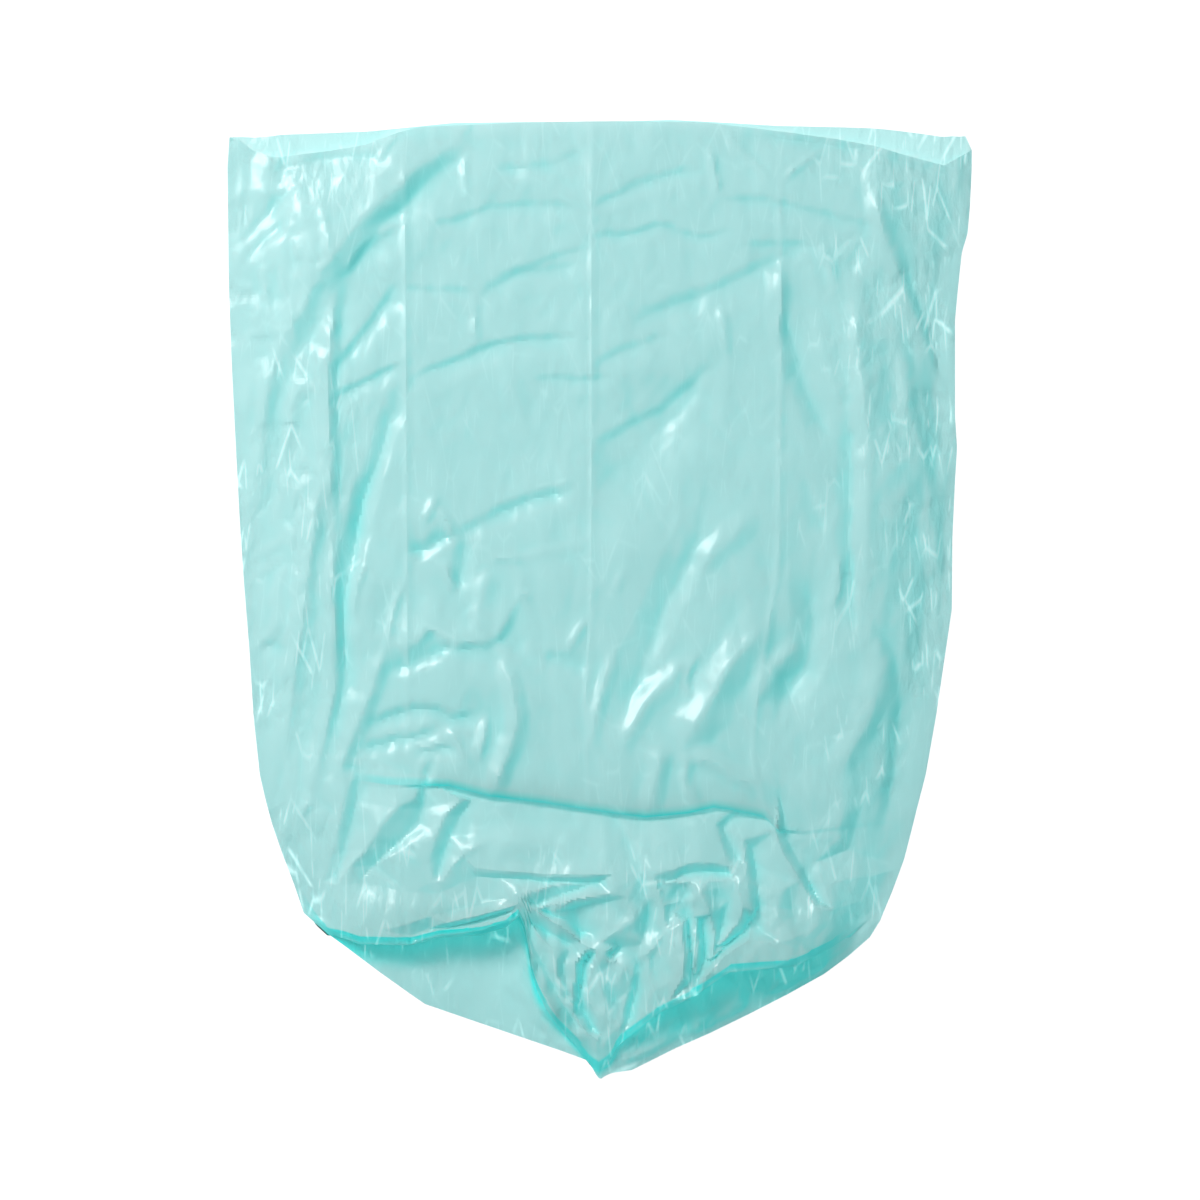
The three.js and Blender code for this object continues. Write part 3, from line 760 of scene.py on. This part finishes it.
class Shader:
    def __init__(self, name):
        self.material = bpy.data.materials.new(name)
        self.material.use_nodes = True
        self.tree = self.material.node_tree
        self.tree.nodes.clear()

    def node(self, kind, settings=None, inputs=None, output=0):
        made = self.tree.nodes.new(kind)
        for key, value in (settings or {}).items():
            setattr(made, key, value)
        for key, value in (inputs or {}).items():
            if isinstance(value, Wire):
                self.tree.links.new(value.socket, made.inputs[key])
            else:
                made.inputs[key].default_value = value
        return Wire(self, made.outputs[output]) if made.outputs else made


def filmMaterial():
    look = dict(
        colour=(0.88, 0.95, 0.95, 1),
        shadeColour=(0.0, 1.0, 0.96, 1),  # painted shade colour, used where the film faces away from the light, lies in hollows or runs under folds
        through=(0.52, 0.97, 0.965, 1),
        roughness=0.3,
        sparkle=0.3,
        sparkleRoughness=0.13,
        glow=0.5,  # share of light that goes through
        crinkle=1.0,
        crinkleDepth=0.0045,
        # creases as turn, scale and how long they are for their width
        broadCreases=[(24, 30.0, 3.0), (-52, 24.0, 2.6)],
        fineCreases=[(-8, 110.0, 2.4), (38, 95.0, 2.0), (-64, 75.0, 2.2)],
        glintCreases=[(-6, 60.0, 6.0), (24, 50.0, 4.5), (-48, 48.0, 4.0)],
        # how high each kind stands where the film is crinkled, and everywhere
        bendScale=14.0,
        bendHeight=1.2,
        broadHeight=(0.5, 0.1),
        fineHeight=0.2,
        glint=(1.0, 1.0, 1.0, 1),  # painted highlight: a white glow on thin creases, standing for light glinting off them
        glintShare=(1.1, 0.1),
        glintWidth=0.0008,
        glintStrength=0.4,
    )
    s = Shader("pale_blue_green_film")
    place = s.node("ShaderNodeTexCoord", output="Object")
    crinkle = s.node("ShaderNodeAttribute", dict(attribute_name="crinkle"), output="Fac")

    def creasesAt(turn, scale, long):
        # straight sharp creases around flat patches, which are long in one direction
        along = s.node("ShaderNodeMapping", inputs={
            "Vector": place, "Rotation": (0, 0, math.radians(turn)), "Scale": (1, 1 / long, 1)})
        return s.node("ShaderNodeTexVoronoi", dict(
            feature="DISTANCE_TO_EDGE", voronoi_dimensions="2D"), {
            "Vector": along, "Scale": scale, "Randomness": 1.0})

    def glintsAt(turn, scale, long):
        # painted highlights: thin pale lines that glow, broken into short ones by a coarser noise
        line = s.node("ShaderNodeMapRange", inputs={
            0: creasesAt(turn, scale, long), 1: 0.0, 2: scale * look["glintWidth"], 3: 1.0,
            4: 0.0})
        patch = s.node("ShaderNodeTexNoise", inputs={
            "Vector": place, "Scale": scale * 0.7, "Detail": 1.0})
        broken = s.node("ShaderNodeMapRange", inputs={0: patch, 1: 0.52, 2: 0.6, 3: 0.0, 4: 1.0})
        return line * broken

    glints = sum(glintsAt(*crease) for crease in look["glintCreases"])
    crinkled, everywhere = look["glintShare"]
    glints = (glints * (crinkle * crinkled + everywhere)).atMost(1.0)
    bend = s.node("ShaderNodeTexNoise", inputs={
        "Vector": place, "Scale": look["bendScale"], "Detail": 1.0})
    broad = sum(creasesAt(*crease) for crease in look["broadCreases"])
    fine = sum(creasesAt(*crease) for crease in look["fineCreases"])
    crinkled, everywhere = look["broadHeight"]
    height = bend * look["bendHeight"] - broad * (crinkle * crinkled + everywhere)
    height = height - crinkle * fine * look["fineHeight"]
    bump = s.node("ShaderNodeBump", inputs={
        "Height": height, "Strength": look["crinkle"], "Distance": look["crinkleDepth"]})
    # painted shade: the film's colour is mixed towards the shade colour by the painted-shade
    # attribute
    paintedShade = s.node("ShaderNodeAttribute", dict(attribute_name="paintedShade"), output="Fac")
    shadedTint = s.node("ShaderNodeMix", dict(data_type="RGBA"), {
        0: paintedShade, 6: look["colour"], 7: look["shadeColour"]}, output=2)
    # painted highlight: the glints glow white through the film's emission
    paintedGlints = s.node("ShaderNodeMix", dict(data_type="RGBA"), {
        0: glints, 6: (0, 0, 0, 1), 7: look["glint"]}, output=2)
    skin = s.node("ShaderNodeBsdfPrincipled", inputs={
        "Base Color": shadedTint, "Roughness": look["roughness"], "IOR": 1.5,
        "Coat Weight": look["sparkle"], "Coat Roughness": look["sparkleRoughness"],
        "Emission Color": paintedGlints, "Emission Strength": look["glintStrength"],
        "Normal": bump})
    passing = s.node("ShaderNodeBsdfTranslucent", inputs={
        "Color": look["through"], "Normal": bump})
    mixed = s.node("ShaderNodeMixShader", inputs={0: look["glow"], 1: skin, 2: passing})
    s.node("ShaderNodeOutputMaterial", inputs={"Surface": mixed})
    return s.material


def floorMaterial():
    # white by its own light, so that the film's shadows stay pale and colourful
    s = Shader("white_floor")
    skin = s.node("ShaderNodeBsdfPrincipled", inputs={
        "Base Color": (0.15, 0.15, 0.15, 1), "Roughness": 0.9, "Specular IOR Level": 0.0,
        "Emission Color": (1, 1, 1, 1), "Emission Strength": stage["floorGlow"]})
    s.node("ShaderNodeOutputMaterial", inputs={"Surface": skin})
    return s.material


liner = makeFilm()
liner.data.materials.append(filmMaterial())
print("film laid:", len(liner.data.vertices), "points,", len(liner.data.polygons), "faces")

stage = dict(
    floorSize=8.0,
    floorDrop=0.0006,
    floorGlow=1.02,
    cameraHeight=4.0,
    sensorWidth=36.0,
    farthest=50,
    keyPower=71.0,
    keyPlace=(-1.7, 1.5, 2.1),
    keySize=1.0,
    fillPower=9.0,
    fillPlace=(1.6, -0.8, 2.2),
    fillSize=2.0,
    world=0.06,
)


def makeFloor():
    bm = bmesh.new()
    bmesh.ops.create_grid(bm, x_segments=1, y_segments=1, size=stage["floorSize"] / 2)
    mesh = bpy.data.meshes.new("floor")
    bm.to_mesh(mesh)
    bm.free()
    floor = bpy.data.objects.new("floor", mesh)
    bpy.context.collection.objects.link(floor)
    floor.data.materials.append(floorMaterial())
    floor.location = (0, 0, -stage["floorDrop"])


def makeLight(name, place, power, size):
    data = bpy.data.lights.new(name, "AREA")
    data.energy = power
    data.size = size
    lamp = bpy.data.objects.new(name, data)
    bpy.context.collection.objects.link(lamp)
    lamp.location = place
    aim = -lamp.location.normalized()
    lamp.rotation_euler = aim.to_track_quat("-Z", "Y").to_euler()


def makeCamera():
    data = bpy.data.cameras.new("camera")
    data.sensor_width = stage["sensorWidth"]
    span = 1200 * photo["metresPerPixel"]
    data.lens = data.sensor_width * stage["cameraHeight"] / span
    data.clip_end = stage["farthest"]
    camera = bpy.data.objects.new("camera", data)
    bpy.context.collection.objects.link(camera)
    camera.location = (0, 0, stage["cameraHeight"])
    bpy.context.scene.camera = camera


makeFloor()
makeLight("key", stage["keyPlace"], stage["keyPower"], stage["keySize"])
makeLight("fill", stage["fillPlace"], stage["fillPower"], stage["fillSize"])
makeCamera()
world = bpy.data.worlds.new("studio")
world.use_nodes = True
world.node_tree.nodes["Background"].inputs["Color"].default_value = (1, 1, 1, 1)
world.node_tree.nodes["Background"].inputs["Strength"].default_value = stage["world"]
bpy.context.scene.world = world
bpy.context.scene.view_settings.view_transform = "Standard"
print("stage set")

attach(liner, "root")
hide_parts("liner_film")
